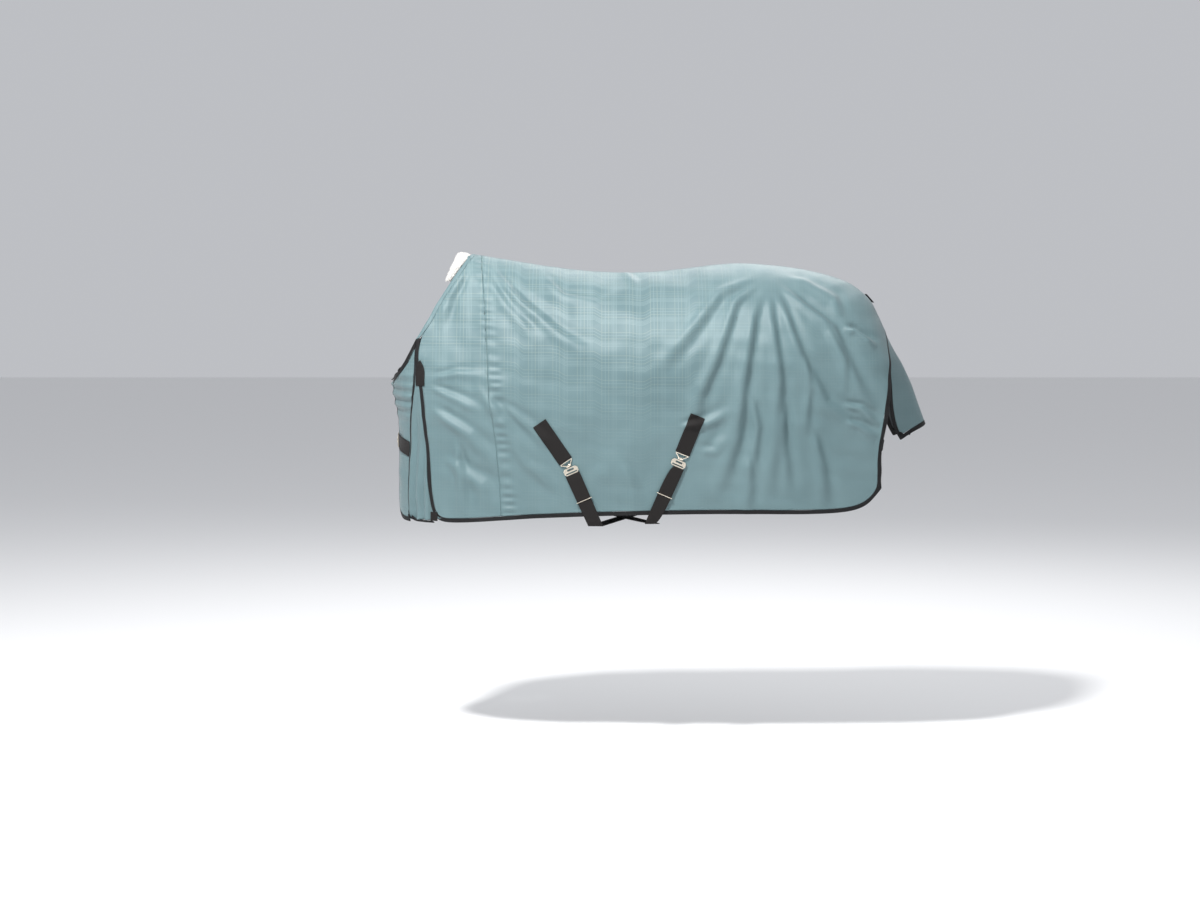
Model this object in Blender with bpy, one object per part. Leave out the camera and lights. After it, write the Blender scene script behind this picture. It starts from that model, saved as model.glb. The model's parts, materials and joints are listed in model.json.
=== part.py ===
"""Turnout rug, shaped as it is worn: +Z up, -X towards the chest, the horse's left side at -Y.

The origin is the underside of the lining at the withers. Every cloth panel lies on one skin, given by
skin(a, b): a runs back from the centre of the chest, b runs down from the spine, both along the cloth.
"""

from math import acos, cos, pi, sin, sqrt

import bmesh
import bpy
from mathutils import Matrix, Vector
from mathutils.bvhtree import BVHTree

# Overall sizes, in metres
BACK_LENGTH = 1.408  # neckline at the withers to the dock
DROP = 0.855  # withers to hem
HALF_WIDTH = 0.335  # centre plane to the widest part of the barrel
WITHERS_X = -0.052  # front end of the spine seam
CHEST_REACH = 0.277  # how far the chest stands ahead of the withers
NECK_DEPTH = 0.425  # withers down to the top corner of the chest

# Cloth and trim thicknesses
LINING = 0.0008
LAYER_GAP = 0.0004
SHELL = 0.0014
SHELL_LOW = LINING + LAYER_GAP
SHELL_HIGH = SHELL_LOW + SHELL
SEAM_GAP = 0.0005
TRIM_LOW = -0.0004  # the bindings stand this far proud of the cloth, inside and outside
TRIM_HIGH = SHELL_HIGH + 0.0006
BINDING_WIDTH = 0.014
GUSSET_BINDING_WIDTH = 0.008
TAPE = 0.0008
SPINE_TAPE_HALF = 0.018
PATCH_LIFT = TRIM_HIGH + 0.0008  # small patches sewn over a binding

# Webbing and fittings
WEBBING_WIDTH = 0.050
WEBBING = 0.0025
SEWN_LIFT = SHELL_HIGH + 0.0010
OVER_BINDING_LIFT = TRIM_HIGH + 0.0007
CHEST_STRAP_LIFT = SHELL_HIGH + 0.0006
HANGING_LIFT = 0.0068
FOLD_BELOW_HEM = 0.033
STRAP_GAP = 0.0005
WIRE_RADIUS = 0.0018
HOOK_LENGTH = 0.021
HOOK_NECK = 0.006
HOOK_HEAD = (0.010, 0.0045, 0.0028)
HOOK_LIFT = WEBBING / 2 + 0.0013
PLATE_LENGTH = 0.022
PLATE_THICKNESS = 0.0022
PLATE_BAR = 0.0035
SLIDE_RADIUS = 0.0014

# Tail flap
FLAP_GAP = 0.0022
FLAP_SEAM_HALF = 0.10
FLAP_SEAM_REACH = 0.1255  # along the cloth from the spine to the end of its seam
FLAP_HALF_WIDTH = 0.122
# Shares of the way down it, then how far back and down its middle and its sides have come
FLAP_RIDGE_BACK = ((0.0, 0.0), (0.12, 0.028), (0.35, 0.074), (0.62, 0.108), (1.0, 0.143))
FLAP_RIDGE_DROP = ((0.0, 0.0), (0.12, 0.052), (0.35, 0.128), (0.62, 0.209), (1.0, 0.312))
FLAP_SIDE_BACK = ((0.0, 0.0), (0.3, 0.004), (0.62, 0.010), (0.85, 0.028), (1.0, 0.048))
FLAP_SIDE_DROP = ((0.0, 0.0), (0.3, 0.114), (0.62, 0.239), (0.85, 0.309), (1.0, 0.336))

# Wither fleece
FLEECE_WIDTH = 0.050
FLEECE_THICKNESS = 0.016
FLEECE_GAP = -0.0010
FLEECE_ROWS = 3  # how many of the neck rows it covers on each side

DOCK_X = WITHERS_X + BACK_LENGTH
CHEST_X = WITHERS_X - CHEST_REACH
NOSE_RADIUS = 0.26
SIDES = {"left": -1.0, "right": 1.0}

# Outline points: shares along the back, then heights above the origin
SPINE = (
    (-0.15, 0.050), (0.0, 0.013), (0.04, 0.003), (0.145, -0.021), (0.25, -0.042), (0.375, -0.054),
    (0.48, -0.045), (0.58, -0.024), (0.66, -0.014), (0.77, -0.031), (0.85, -0.052), (0.925, -0.091),
    (0.97, -0.151), (0.99, -0.205), (1.0, -0.250), (1.02, -0.330),
)
# Shares along the back, then how far the hem stands above the drop
HEM = (
    (-0.20, -0.039), (-0.03, -0.029), (0.11, -0.014), (0.25, -0.003), (0.53, 0.007), (0.84, 0.005),
    (0.90, 0.010), (0.935, 0.024), (0.962, 0.050), (0.98, 0.088), (1.02, 0.12),
)
# Shares along the back, then shares of the half width
WIDTH = (
    (-0.20, 0.64), (-0.08, 0.73), (0.07, 0.86), (0.25, 0.955), (0.46, 1.0), (0.68, 0.975), (0.85, 0.89), (1.0, 0.73),
)
# Shares along the back, then the depth over which the top is rounded
ROUNDING = ((-0.20, 0.40), (0.05, 0.42), (0.35, 0.36), (0.65, 0.33), (0.85, 0.33), (1.0, 0.30))
# Shares of the chest reach and of the neck depth
NECKLINE = (
    (0.0, 0.0), (0.11, 0.092), (0.224, 0.219), (0.343, 0.322), (0.462, 0.456), (0.585, 0.638),
    (0.715, 0.776), (0.85, 0.915), (1.0, 1.0),
)
SEAM_ON_NECKLINE = 0.655  # where the chest flap's seam leaves the neckline
# Shares of the way down to the hem, then distances behind the chest
FLAP_SEAM = (
    (0.0, 0.096), (0.12, 0.090), (0.25, 0.088), (0.39, 0.078), (0.55, 0.074), (0.72, 0.072), (0.85, 0.067),
    (1.0, 0.064),
)
GUSSET_REAR = (
    (0.0, 0.096), (0.12, 0.092), (0.24, 0.108), (0.35, 0.116), (0.55, 0.129), (0.75, 0.139), (0.90, 0.146),
    (1.0, 0.157),
)
# Shares of the way down, then distances behind the withers or the dock
SHOULDER_SEAM = (
    (0.0, 0.034), (0.12, 0.046), (0.38, 0.062), (0.54, 0.070), (0.64, 0.083), (0.77, 0.097), (1.0, 0.110),
)
REAR_EDGE = ((0.0, 0.0), (0.15, 0.001), (0.34, 0.0), (0.58, -0.012), (0.78, -0.029), (1.0, -0.028))

# Sides of each panel that are bound, in walking order
CHEST_BOUND = ("top", "left", "bottom")
GUSSET_BOUND = ("left", "bottom")
TRUNK_BOUND = ("left", "bottom", "right")
FLAP_BOUND = ("left", "bottom", "right")

# Grid lines of the panels, as shares: rows run down, columns run back
NECK_ROWS = (0.0, 0.05, 0.105, 0.165, 0.225, 0.29, 0.355)
NECK_SHARE = 0.42  # of the way down the shoulder panel that its neckline takes
CHEST_ROWS = (0.0, 0.10, 0.20, 0.30, 0.40, 0.52, 0.64, 0.76, 0.88, 0.965, 1.0)
GUSSET_FROM_ROW = 2
CHEST_COLUMNS = (0.0, 0.08, 0.32, 0.58, 0.80, 1.0)
GUSSET_COLUMNS = (0.0, 0.3, 0.65, 1.0)
SHOULDER_COLUMNS = (0.0, 0.06, 0.46, 0.60, 0.74, 0.87, 1.0)
BODY_COLUMNS = (0.0, 0.07, 0.16, 0.26, 0.37, 0.48, 0.59, 0.70, 0.80, 0.88, 0.93, 0.965, 0.988, 1.0)

FLAP_COLUMNS = (-1.0, -0.84, -0.66, -0.48, -0.3, -0.12, 0.12, 0.3, 0.48, 0.66, 0.84, 1.0)
FLAP_ROWS = (0.0, 0.1, 0.25, 0.4, 0.55, 0.7, 0.83, 0.94, 1.0)

# Surcingles: distance along X from the origin, then height above the hem
FRONT_STRAP = {
    "patch": ((0.185, 0.318), (0.272, 0.187)),
    "riser": ((0.2950, 0.1432), (0.372, -FOLD_BELOW_HEM)),
}
REAR_STRAP = {
    "patch": ((0.709, 0.328), (0.659, 0.203)),
    "riser": ((0.6408, 0.1590), (0.559, -FOLD_BELOW_HEM + 0.003)),
}
SLIDE_SHARE = 0.50  # of the way down the riser
ANCHOR_FOLD_Z = -(DROP + FOLD_BELOW_HEM)

CHEST_STRAP_Z = (-0.6445, -0.621)  # at its sewn end and at the front
CHEST_STRAP_START = 0.150  # how far round from the centre it is sewn

FRONT_CLEARANCE = 0.0006  # from the centre plane to the fittings on each flap
FLAP_CLEARANCE = 0.0008
HINGE_OUT = 0.0095
HINGE_BACK = 0.0010
FLAP_HINGE_OUT = 0.0042

# The pointed tab at the top of the gusset: heights, then half widths about its middle
TAB_X = -0.216
TAB_OUTLINE = ((-0.343, 0.0015), (-0.366, 0.0145), (-0.397, 0.0155), (-0.428, 0.0155))
GUSSET_PATCH = ((-0.183, -0.158), (-0.881, -0.851))
CROUP_TAPE_X = (1.290, 1.315)
CROUP_TAPE_HALF = 0.035


def clear_scene():
    for old in list(bpy.data.objects):
        bpy.data.objects.remove(old, do_unlink=True)


def smoothstep(value):
    value = min(max(value, 0.0), 1.0)
    return value * value * (3.0 - 2.0 * value)


def through(knots, at):
    """The height at `at` of a smooth curve through the knots, straight beyond them."""
    if at <= knots[0][0]:
        first, second = knots[0], knots[1]
        return first[1] + (at - first[0]) * (second[1] - first[1]) / (second[0] - first[0])
    if at >= knots[-1][0]:
        first, second = knots[-2], knots[-1]
        return second[1] + (at - second[0]) * (second[1] - first[1]) / (second[0] - first[0])
    i = max(k for k in range(len(knots) - 1) if knots[k][0] <= at)

    def slope(k):
        low, high = max(k - 1, 0), min(k + 1, len(knots) - 1)
        return (knots[high][1] - knots[low][1]) / (knots[high][0] - knots[low][0])

    (x0, y0), (x1, y1) = knots[i], knots[i + 1]
    span = x1 - x0
    t = (at - x0) / span
    t2, t3 = t * t, t * t * t
    return (
        (2 * t3 - 3 * t2 + 1) * y0
        + (t3 - 2 * t2 + t) * span * slope(i)
        + (3 * t2 - 2 * t3) * y1
        + (t3 - t2) * span * slope(i + 1)
    )


def along_back(x):
    return (x - WITHERS_X) / BACK_LENGTH


def spine_z(x):
    return through(SPINE, along_back(x))


def hem_z(x):
    return through(HEM, along_back(x)) - DROP


CHEST_Z = spine_z(WITHERS_X) - NECK_DEPTH


def front_x(z):
    """The centre of the chest at height z, and above the chest the line that the neck leaves along."""
    if z > CHEST_Z:
        return CHEST_X - 0.6 * (z - CHEST_Z)
    return CHEST_X + 0.030 * smoothstep((CHEST_Z - z) / 0.15)


def half_width(x, z):
    neck = smoothstep((0.15 - x) / 0.35) * smoothstep((z - CHEST_Z + 0.09) / 0.35)
    tuck = smoothstep((-z - 0.45) / 0.42)
    return HALF_WIDTH * through(WIDTH, along_back(x)) * (1 - 0.36 * neck) * (1 - 0.07 * tuck)


def reach(a):
    """How far behind the chest the cloth has come after running back by a."""
    quarter = NOSE_RADIUS * pi / 2
    if abs(a) < quarter:
        return NOSE_RADIUS * (1 - cos(a / NOSE_RADIUS))
    return NOSE_RADIUS + abs(a) - quarter


def x_at(a, z):
    fade = smoothstep((a - 0.12) / 0.48)
    return front_x(z) * (1 - fade) + (CHEST_X + 0.030) * fade + reach(a)


def depth_after(b, radius):
    quarter = radius * pi / 2
    return radius * (1 - cos(b / radius)) if abs(b) < quarter else radius + abs(b) - quarter


def skin(a, b):
    """The point of the cloth's underside, on the left half."""
    x, z = x_at(a, CHEST_Z), CHEST_Z
    for _ in range(30):
        radius = through(ROUNDING, along_back(x))
        z += 0.6 * (spine_z(x) - depth_after(b, radius) - z)
        x += 0.6 * (x_at(a, z) - x)
    top = sin(max(min(b / radius, pi / 2), -pi / 2))
    nose = sin(max(min(a / NOSE_RADIUS, pi / 2), -pi / 2))
    return Vector((x, -half_width(x, z) * top * nose, z))


def skin_normal(a, b):
    step = 0.002
    along = skin(a + step, b) - skin(a - step, b)
    down = skin(a, b + step) - skin(a, b - step)
    return along.cross(down).normalized() * -1.0


def down_to(x, z):
    """How far down the cloth from the spine the height z is reached."""
    radius = through(ROUNDING, along_back(x))
    depth = max(spine_z(x) - z, 0.0)
    return radius * acos(1 - depth / radius) if depth < radius else radius * pi / 2 + depth - radius


def place_on_skin(x, z):
    """The (a, b) whose point has this x and z."""
    low, high = 0.0, BACK_LENGTH + CHEST_REACH + 0.5
    for _ in range(40):
        middle = (low + high) / 2
        if x_at(middle, z) < x:
            low = middle
        else:
            high = middle
    return Vector((low, down_to(x, z)))


def neckline(t):
    """The neckline's (a, b) from the withers, at 0, to the top corner of the chest, at 1."""
    shares = [(i / (len(NECKLINE) - 1), share) for i, share in enumerate(NECKLINE)]
    ahead = through([(i, share[0]) for i, share in shares], t)
    below = through([(i, share[1]) for i, share in shares], t)
    return place_on_skin(WITHERS_X - CHEST_REACH * ahead, spine_z(WITHERS_X) - NECK_DEPTH * below)


def down_from(top, offsets, start_x):
    """A line from top to the hem, even along the cloth: offsets are (share of the fall, distance from start_x)."""
    top_z = skin(*top).z
    bottom_x = start_x + offsets[-1][1]
    bottom_z = hem_z(bottom_x)
    bottom_b = down_to(bottom_x, bottom_z)

    def at(v):
        b = top.y + (bottom_b - top.y) * v
        x = start_x + through(offsets, v)
        for _ in range(8):
            z = spine_z(x) - depth_after(b, through(ROUNDING, along_back(x)))
            x = start_x + through(offsets, (z - top_z) / (bottom_z - top_z))
        return place_on_skin(x, z)

    return at


def by_length(line, end):
    """The part of a line from 0 to end, even along the cloth."""
    steps = 60
    places = [line(end * k / steps) for k in range(steps + 1)]
    points = [skin(*place) for place in places]
    lengths = [0.0]
    for before, after in zip(points, points[1:]):
        lengths.append(lengths[-1] + (after - before).length)

    def at(share):
        wanted = min(max(share, 0.0), 1.0) * lengths[-1]
        k = min(max(i for i, length in enumerate(lengths) if length <= wanted), steps - 1)
        return places[k].lerp(places[k + 1], (wanted - lengths[k]) / (lengths[k + 1] - lengths[k]))

    return at


def hem_between(start, end):
    """The hem's (a, b) between two places on it."""

    def at(u):
        place = start.lerp(end, u)
        for _ in range(4):
            place = Vector((place.x, place_on_skin(skin(*place).x, hem_z(skin(*place).x)).y))
        return place

    return at


def boundaries():
    """The lines that the panels meet along, each a function of a share to (a, b)."""
    seam_top = neckline(SEAM_ON_NECKLINE)
    spine_b = SEAM_GAP / 2
    withers = Vector((place_on_skin(WITHERS_X, spine_z(WITHERS_X)).x, spine_b))
    seam_spine = Vector((place_on_skin(WITHERS_X + SHOULDER_SEAM[0][1], spine_z(WITHERS_X)).x, spine_b))
    dock = Vector((place_on_skin(DOCK_X, spine_z(DOCK_X)).x, spine_b))
    front_a = SEAM_GAP
    front_top = Vector((front_a, neckline(1.0).y))
    front_bottom = Vector((front_a, place_on_skin(CHEST_X + 0.030, -DROP).y))
    flap_seam = down_from(seam_top, FLAP_SEAM, CHEST_X)
    gusset_rear = down_from(seam_top, GUSSET_REAR, CHEST_X)
    shoulder_seam = down_from(seam_spine, SHOULDER_SEAM, WITHERS_X)
    rear_edge = down_from(dock, REAR_EDGE, DOCK_X)

    neck = by_length(neckline, SEAM_ON_NECKLINE)

    def shoulder_front(v):
        if v < NECK_SHARE:
            place = neck(v / NECK_SHARE)
            return Vector((place.x, max(place.y, spine_b)))
        return gusset_rear((v - NECK_SHARE) / (1 - NECK_SHARE))

    def chest_neckline(u):
        place = neckline(1.0 + (SEAM_ON_NECKLINE - 1.0) * u)
        return Vector((max(place.x, front_a), place.y))

    def chest_hem(u):
        end = flap_seam(1.0)
        return Vector((front_a + (end.x - front_a) * u, end.y + (front_bottom.y - end.y) * (1 - u) ** 3))

    return {
        "flap_seam": flap_seam,
        "gusset_rear": gusset_rear,
        "shoulder_front": shoulder_front,
        "shoulder_seam": shoulder_seam,
        "rear_edge": rear_edge,
        "front_edge": lambda v: front_top.lerp(front_bottom, v),
        "chest_neckline": chest_neckline,
        "chest_hem": chest_hem,
        "gusset_top": lambda u: flap_seam(0.0),
        "gusset_hem": lambda u: flap_seam(1.0).lerp(gusset_rear(1.0), u),
        "withers": lambda u: withers.lerp(seam_spine, u),
        "spine": lambda u: seam_spine.lerp(dock, u),
        "shoulder_hem": hem_between(gusset_rear(1.0), shoulder_seam(1.0)),
        "body_hem": hem_between(shoulder_seam(1.0), rear_edge(1.0)),
    }


def patch(lines, top, bottom, left, right):
    """A panel's (a, b) over (u, v) in the unit square, blended from its four boundaries."""
    top, bottom, left, right = (lines[name] for name in (top, bottom, left, right))

    def at(u, v):
        across = left(v) * (1 - u) + right(v) * u
        down = top(u) * (1 - v) + bottom(u) * v
        above = top(0) * (1 - u) + top(1) * u
        below = bottom(0) * (1 - u) + bottom(1) * u
        return across + down - above * (1 - v) - below * v

    return at


def flipped(vector):
    return Vector((vector.x, -vector.y, vector.z))


def flipped_points(points):
    return [[flipped(p) for p in column] for column in points]


class Cloth:
    """A grid of points on the skin with their normals, each as [column][row]."""

    def __init__(self, points, normals):
        self.points, self.normals = points, normals

    @classmethod
    def over(cls, at, columns, rows):
        places = [[at(u, v) for v in rows] for u in columns]
        return cls(
            [[skin(*place) for place in column] for column in places],
            [[skin_normal(*place) for place in column] for column in places],
        )

    def mirrored(self, side):
        if side < 0:
            return self
        return Cloth(flipped_points(self.points), flipped_points(self.normals))

    def joined_to(self, other):
        return Cloth(self.points[:-1] + other.points, self.normals[:-1] + other.normals)

    def edge(self, side):
        """The (column, row) pairs of a side's edge and of the line next to it, in walking order."""
        u, v = len(self.points) - 1, len(self.points[0]) - 1
        return {
            "left": [((0, j), (1, j)) for j in range(v + 1)],
            "bottom": [((i, v), (i, v - 1)) for i in range(u + 1)],
            "right": [((u, j), (u - 1, j)) for j in range(v, -1, -1)],
            "top": [((i, 0), (i, 1)) for i in range(u, -1, -1)],
        }[side]

    def with_margin(self, sides, width):
        """A copy whose line next to each of these sides lies this far in from it."""
        made = Cloth([list(column) for column in self.points], self.normals)
        for side in sides:
            pairs = made.edge(side)
            for k, ((i, j), (m, n)) in enumerate(pairs):
                before, after = pairs[max(k - 1, 0)][0], pairs[min(k + 1, len(pairs) - 1)][0]
                tangent = (made.points[after[0]][after[1]] - made.points[before[0]][before[1]]).normalized()
                edge, inner = made.points[i][j], made.points[m][n]
                inward = inner - edge
                square = inward - tangent * inward.dot(tangent)
                made.points[m][n] = edge + inward * (width / square.length)
        return made

    def inside(self, sides):
        """The part within the margins of these sides."""
        first_u, last_u = int("left" in sides), len(self.points) - int("right" in sides)
        first_v, last_v = int("top" in sides), len(self.points[0]) - int("bottom" in sides)
        return Cloth(
            [column[first_v:last_v] for column in self.points[first_u:last_u]],
            [column[first_v:last_v] for column in self.normals[first_u:last_u]],
        )

    def margin(self, sides, gap):
        """The strip of cloth along these sides in turn, mitred at the corners, a gap clear of what is inside."""
        pairs = []
        for side in sides:
            walk = self.edge(side)
            if pairs:
                pairs = pairs[:-2] + [(walk[0][0], walk[1][1])]
                walk = walk[2:]
            pairs.extend(walk)
        strip = Cloth([], [])
        for (i, j), (m, n) in pairs:
            edge, inner = self.points[i][j], self.points[m][n]
            strip.points.append([edge, inner + (edge - inner).normalized() * gap])
            strip.normals.append([self.normals[i][j], self.normals[m][n]])
        return strip

    def part(self, first=None, last=None, gap=0.0):
        """Some of the columns, the cut end drawn in by the gap."""
        made = Cloth([list(column) for column in self.points[first:last]], self.normals[first:last])
        for cut, near, far in ((first, 0, 1), (last, -1, -2)):
            if cut is not None and gap:
                made.points[near] = [
                    p + (q - p).normalized() * gap for p, q in zip(made.points[near], made.points[far])
                ]
        return made


def material(name, colour, roughness, metallic=0.0):
    made = bpy.data.materials.new(name)
    made.use_nodes = True
    shader = made.node_tree.nodes["Principled BSDF"]
    shader.inputs["Base Color"].default_value = (*colour, 1.0)
    shader.inputs["Roughness"].default_value = roughness
    shader.inputs["Metallic"].default_value = metallic
    return made


def add_object(name, data, finish, collection):
    made = bpy.data.objects.new(name, data)
    if not data.materials:
        data.materials.append(finish)
    collection.objects.link(made)
    return made


def slab_mesh(name, low, high):
    """A closed slab between two grids of points[column][row], high on its outer side."""
    columns, rows = len(low), len(low[0])
    points = [p for grid in (low, high) for column in grid for p in column]
    above = columns * rows

    def spot(i, j):
        return i * rows + j

    faces = []
    for i in range(columns - 1):
        for j in range(rows - 1):
            a, b, c, d = spot(i, j), spot(i, j + 1), spot(i + 1, j + 1), spot(i + 1, j)
            faces.extend([(a, b, c), (a, c, d)])
            faces.extend([(above + c, above + b, above + a), (above + d, above + c, above + a)])
    rim = [spot(0, j) for j in range(rows)] + [spot(i, rows - 1) for i in range(1, columns)]
    rim += [spot(columns - 1, j) for j in range(rows - 2, -1, -1)] + [spot(i, 0) for i in range(columns - 2, 0, -1)]
    for start, end in zip(rim, rim[1:] + rim[:1]):
        faces.extend([(start, above + start, above + end), (start, above + end, end)])
    mesh = bpy.data.meshes.new(name)
    mesh.from_pydata(points, [], faces)
    bm = bmesh.new()
    bm.from_mesh(mesh)
    bm.normal_update()
    bmesh.ops.recalc_face_normals(bm, faces=bm.faces)
    bm.to_mesh(mesh)
    bm.free()
    return mesh


def raised(points, normals, lift):
    return [[p + n * lift for p, n in zip(column, ways)] for column, ways in zip(points, normals)]


def add_sheet(name, cloth, low, high, finish, collection):
    mesh = slab_mesh(name, raised(cloth.points, cloth.normals, low), raised(cloth.points, cloth.normals, high))
    return add_object(name, mesh, finish, collection)


def skin_tree(cloths):
    points, faces = [], []
    for cloth in cloths:
        rows = len(cloth.points[0])
        first = len(points)
        points.extend(p for column in cloth.points for p in column)
        for i in range(len(cloth.points) - 1):
            for j in range(rows - 1):
                k = first + i * rows + j
                faces.append((k, k + 1, k + rows + 1, k + rows))
    return BVHTree.FromPolygons(points, faces)


def flank(tree, x, z, lift):
    """The point beside the left flank, hanging straight down below the hem."""
    hang = max(z, hem_z(x) + 0.010)
    place, normal, _, _ = tree.ray_cast(Vector((x, -2.0, hang)), Vector((0.0, 1.0, 0.0)))
    return Vector((x, place.y - lift, z))


def ribbon_points(tree, start, end, lift, stations, level_end=False):
    """Webbing on the left flank between two (x, height above the hem), as points[column][row]."""
    first = Vector((start[0], hem_z(start[0]) + start[1]))
    last = Vector((end[0], hem_z(end[0]) + end[1]))
    run = (last - first).normalized()
    square = Vector((-run.y, run.x)) * (-1 if run.y > 0 else 1)
    columns = [[], [], []]
    for k in range(stations + 1):
        centre = first.lerp(last, k / stations)
        across = Vector((1.0, 0.0)) if level_end and k == stations else square
        for column, share in zip(columns, (-1, 0, 1)):
            column.append(flank(tree, *(centre + across * share * WEBBING_WIDTH / 2), lift))
    return columns


def add_ribbon(name, points, way, finish, collection):
    """Webbing whose inner face runs through these points, as thick as webbing on the side towards `way`."""
    normals = []
    for i, column in enumerate(points):
        beside = points[i + 1] if i == 0 else points[i - 1]
        normals.append([])
        for j, point in enumerate(column):
            along = column[min(j + 1, len(column) - 1)] - column[max(j - 1, 0)]
            normals[-1].append(facing(along, beside[j] - point, way))
    mesh = slab_mesh(name, points, raised(points, normals, WEBBING))
    return add_object(name, mesh, finish, collection)


def rounded(loop, cut):
    """The loop with each corner turned into a short curve that starts this far from it."""
    corners = [Vector(corner) for corner in loop]
    points = []
    for k, corner in enumerate(corners):
        start = corner + (corners[k - 1] - corner).normalized() * cut
        end = corner + (corners[(k + 1) % len(corners)] - corner).normalized() * cut
        for share in (0.0, 0.25, 0.5, 0.75, 1.0):
            points.append(start.lerp(corner, share).lerp(corner.lerp(end, share), share))
    return points


def wire_mesh(name, points, radius, collection):
    """A closed loop of round wire through these points, as a mesh."""
    curve = bpy.data.curves.new(name, "CURVE")
    curve.dimensions = "3D"
    curve.bevel_depth = radius
    curve.bevel_resolution = 2
    spline = curve.splines.new("POLY")
    spline.points.add(len(points) - 1)
    for spot, point in zip(spline.points, points):
        spot.co = (*point, 1.0)
    spline.use_cyclic_u = True
    holder = bpy.data.objects.new(name + "_curve", curve)
    collection.objects.link(holder)
    bpy.context.view_layer.update()
    graph = bpy.context.evaluated_depsgraph_get()
    mesh = bpy.data.meshes.new_from_object(holder.evaluated_get(graph))
    bpy.data.objects.remove(holder, do_unlink=True)
    bpy.data.curves.remove(curve)
    bm = bmesh.new()
    bm.from_mesh(mesh)
    bmesh.ops.remove_doubles(bm, verts=bm.verts, dist=1e-6)
    bm.to_mesh(mesh)
    bm.free()
    mesh.name = name
    return mesh


def add_hook(name, frame, finish, collection, cutters):
    """A wire loop that narrows to a neck with a T-shaped head; its bar, in the webbing, is its own X axis."""
    half = WEBBING_WIDTH / 2 - WIRE_RADIUS
    neck_y = HOOK_LENGTH - HOOK_NECK
    loop = [(-half, 0, 0), (half, 0, 0), (HOOK_NECK, neck_y, 0), (-HOOK_NECK, neck_y, 0)]
    made = add_object(name, wire_mesh(name, rounded(loop, 0.004), WIRE_RADIUS, collection), finish, collection)
    bm = bmesh.new()
    bmesh.ops.create_uvsphere(bm, u_segments=14, v_segments=8, radius=1.0)
    bmesh.ops.scale(bm, vec=HOOK_HEAD, verts=bm.verts)
    bmesh.ops.translate(bm, vec=(0.0, HOOK_LENGTH - HOOK_HEAD[1] - 0.0007, 0.0), verts=bm.verts)
    head_mesh = bpy.data.meshes.new(name + "_head")
    bm.to_mesh(head_mesh)
    bm.free()
    head = bpy.data.objects.new(name + "_head", head_mesh)
    head.display_type = "WIRE"
    cutters.objects.link(head)
    join = made.modifiers.new("Head", "BOOLEAN")
    join.operation = "UNION"
    join.object = head
    for part in (made, head):
        part.matrix_world = frame
    return made


def add_plate(name, frame, finish, collection):
    """The keyhole plate: the webbing goes round the bar on its own X axis, the hook's head through the keyhole."""
    curve = bpy.data.curves.new(name, "CURVE")
    curve.dimensions = "2D"
    curve.fill_mode = "BOTH"
    curve.extrude = PLATE_THICKNESS / 2
    half = WEBBING_WIDTH / 2
    low, corner = -PLATE_BAR / 2, 0.006
    outline = [
        (-half, PLATE_LENGTH - corner), (-half, low + corner), (-half + corner, low), (half - corner, low),
        (half, low + corner), (half, PLATE_LENGTH - corner),
        (half - corner, PLATE_LENGTH), (-half + corner, PLATE_LENGTH),
    ]
    slot = rectangle(half - 0.0055, -low, -low + 0.0045)
    keyhole = rectangle(HOOK_HEAD[0] + 0.0015, PLATE_LENGTH - 0.0105, PLATE_LENGTH - 0.0040)
    for loop in (outline, slot, keyhole):
        spline = curve.splines.new("POLY")
        spline.points.add(len(loop) - 1)
        for spot, point in zip(spline.points, loop):
            spot.co = (*point, 0.0, 1.0)
        spline.use_cyclic_u = True
    made = add_object(name, curve, finish, collection)
    made.matrix_world = frame
    return made


def add_pivot(name, place, axis, collection):
    """An empty on a joint, its own Z along the joint's axis."""
    pivot = bpy.data.objects.new(name, None)
    pivot.matrix_world = Matrix.Translation(place) @ axis.to_track_quat("Z", "Y").to_matrix().to_4x4()
    pivot.empty_display_size = 0.03
    collection.objects.link(pivot)
    return pivot


def carry(made, pivot):
    """Hang a piece from a pivot without moving it."""
    made.parent = pivot
    made.matrix_parent_inverse = pivot.matrix_world.inverted()


def rectangle(half, low, high):
    return [(-half, low), (half, low), (half, high), (-half, high)]


def add_slide(name, frame, finish, collection):
    """A rectangular wire loop round the webbing."""
    across = WEBBING_WIDTH / 2 + STRAP_GAP + SLIDE_RADIUS
    high = WEBBING / 2 + STRAP_GAP + SLIDE_RADIUS
    loop = [(x, 0.0, z) for x, z in rectangle(across, -high, high)]
    made = add_object(name, wire_mesh(name, rounded(loop, 0.0014), SLIDE_RADIUS, collection), finish, collection)
    made.matrix_world = frame
    return made


def frame_at(origin, run, outward):
    """The matrix whose X is across the strap, Y along it and Z off the cloth."""
    run = run.normalized()
    outward = (outward - run * outward.dot(run)).normalized()
    across = run.cross(outward).normalized()
    matrix = Matrix((across, run, outward)).transposed().to_4x4()
    matrix.translation = origin
    return matrix


def tail_flap_point(s, t, dock):
    """A point of the tail flap: s from its seam to its lower edge, t across from -1 to 1."""
    out = abs(t)
    on_edge, before = skin(dock, out * FLAP_SEAM_REACH), skin(dock - 0.01, out * FLAP_SEAM_REACH)
    point = on_edge + (on_edge - before).normalized() * FLAP_GAP
    share = out**1.7
    widen = 1 + (FLAP_HALF_WIDTH / FLAP_SEAM_HALF - 1) * smoothstep(s * 2.5)
    point.x += through(FLAP_RIDGE_BACK, s) * (1 - share) + through(FLAP_SIDE_BACK, s) * share
    point.z -= through(FLAP_RIDGE_DROP, s) * (1 - share) + through(FLAP_SIDE_DROP, s) * share
    point.y *= widen
    return flipped(point) if t > 0 else point


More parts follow.
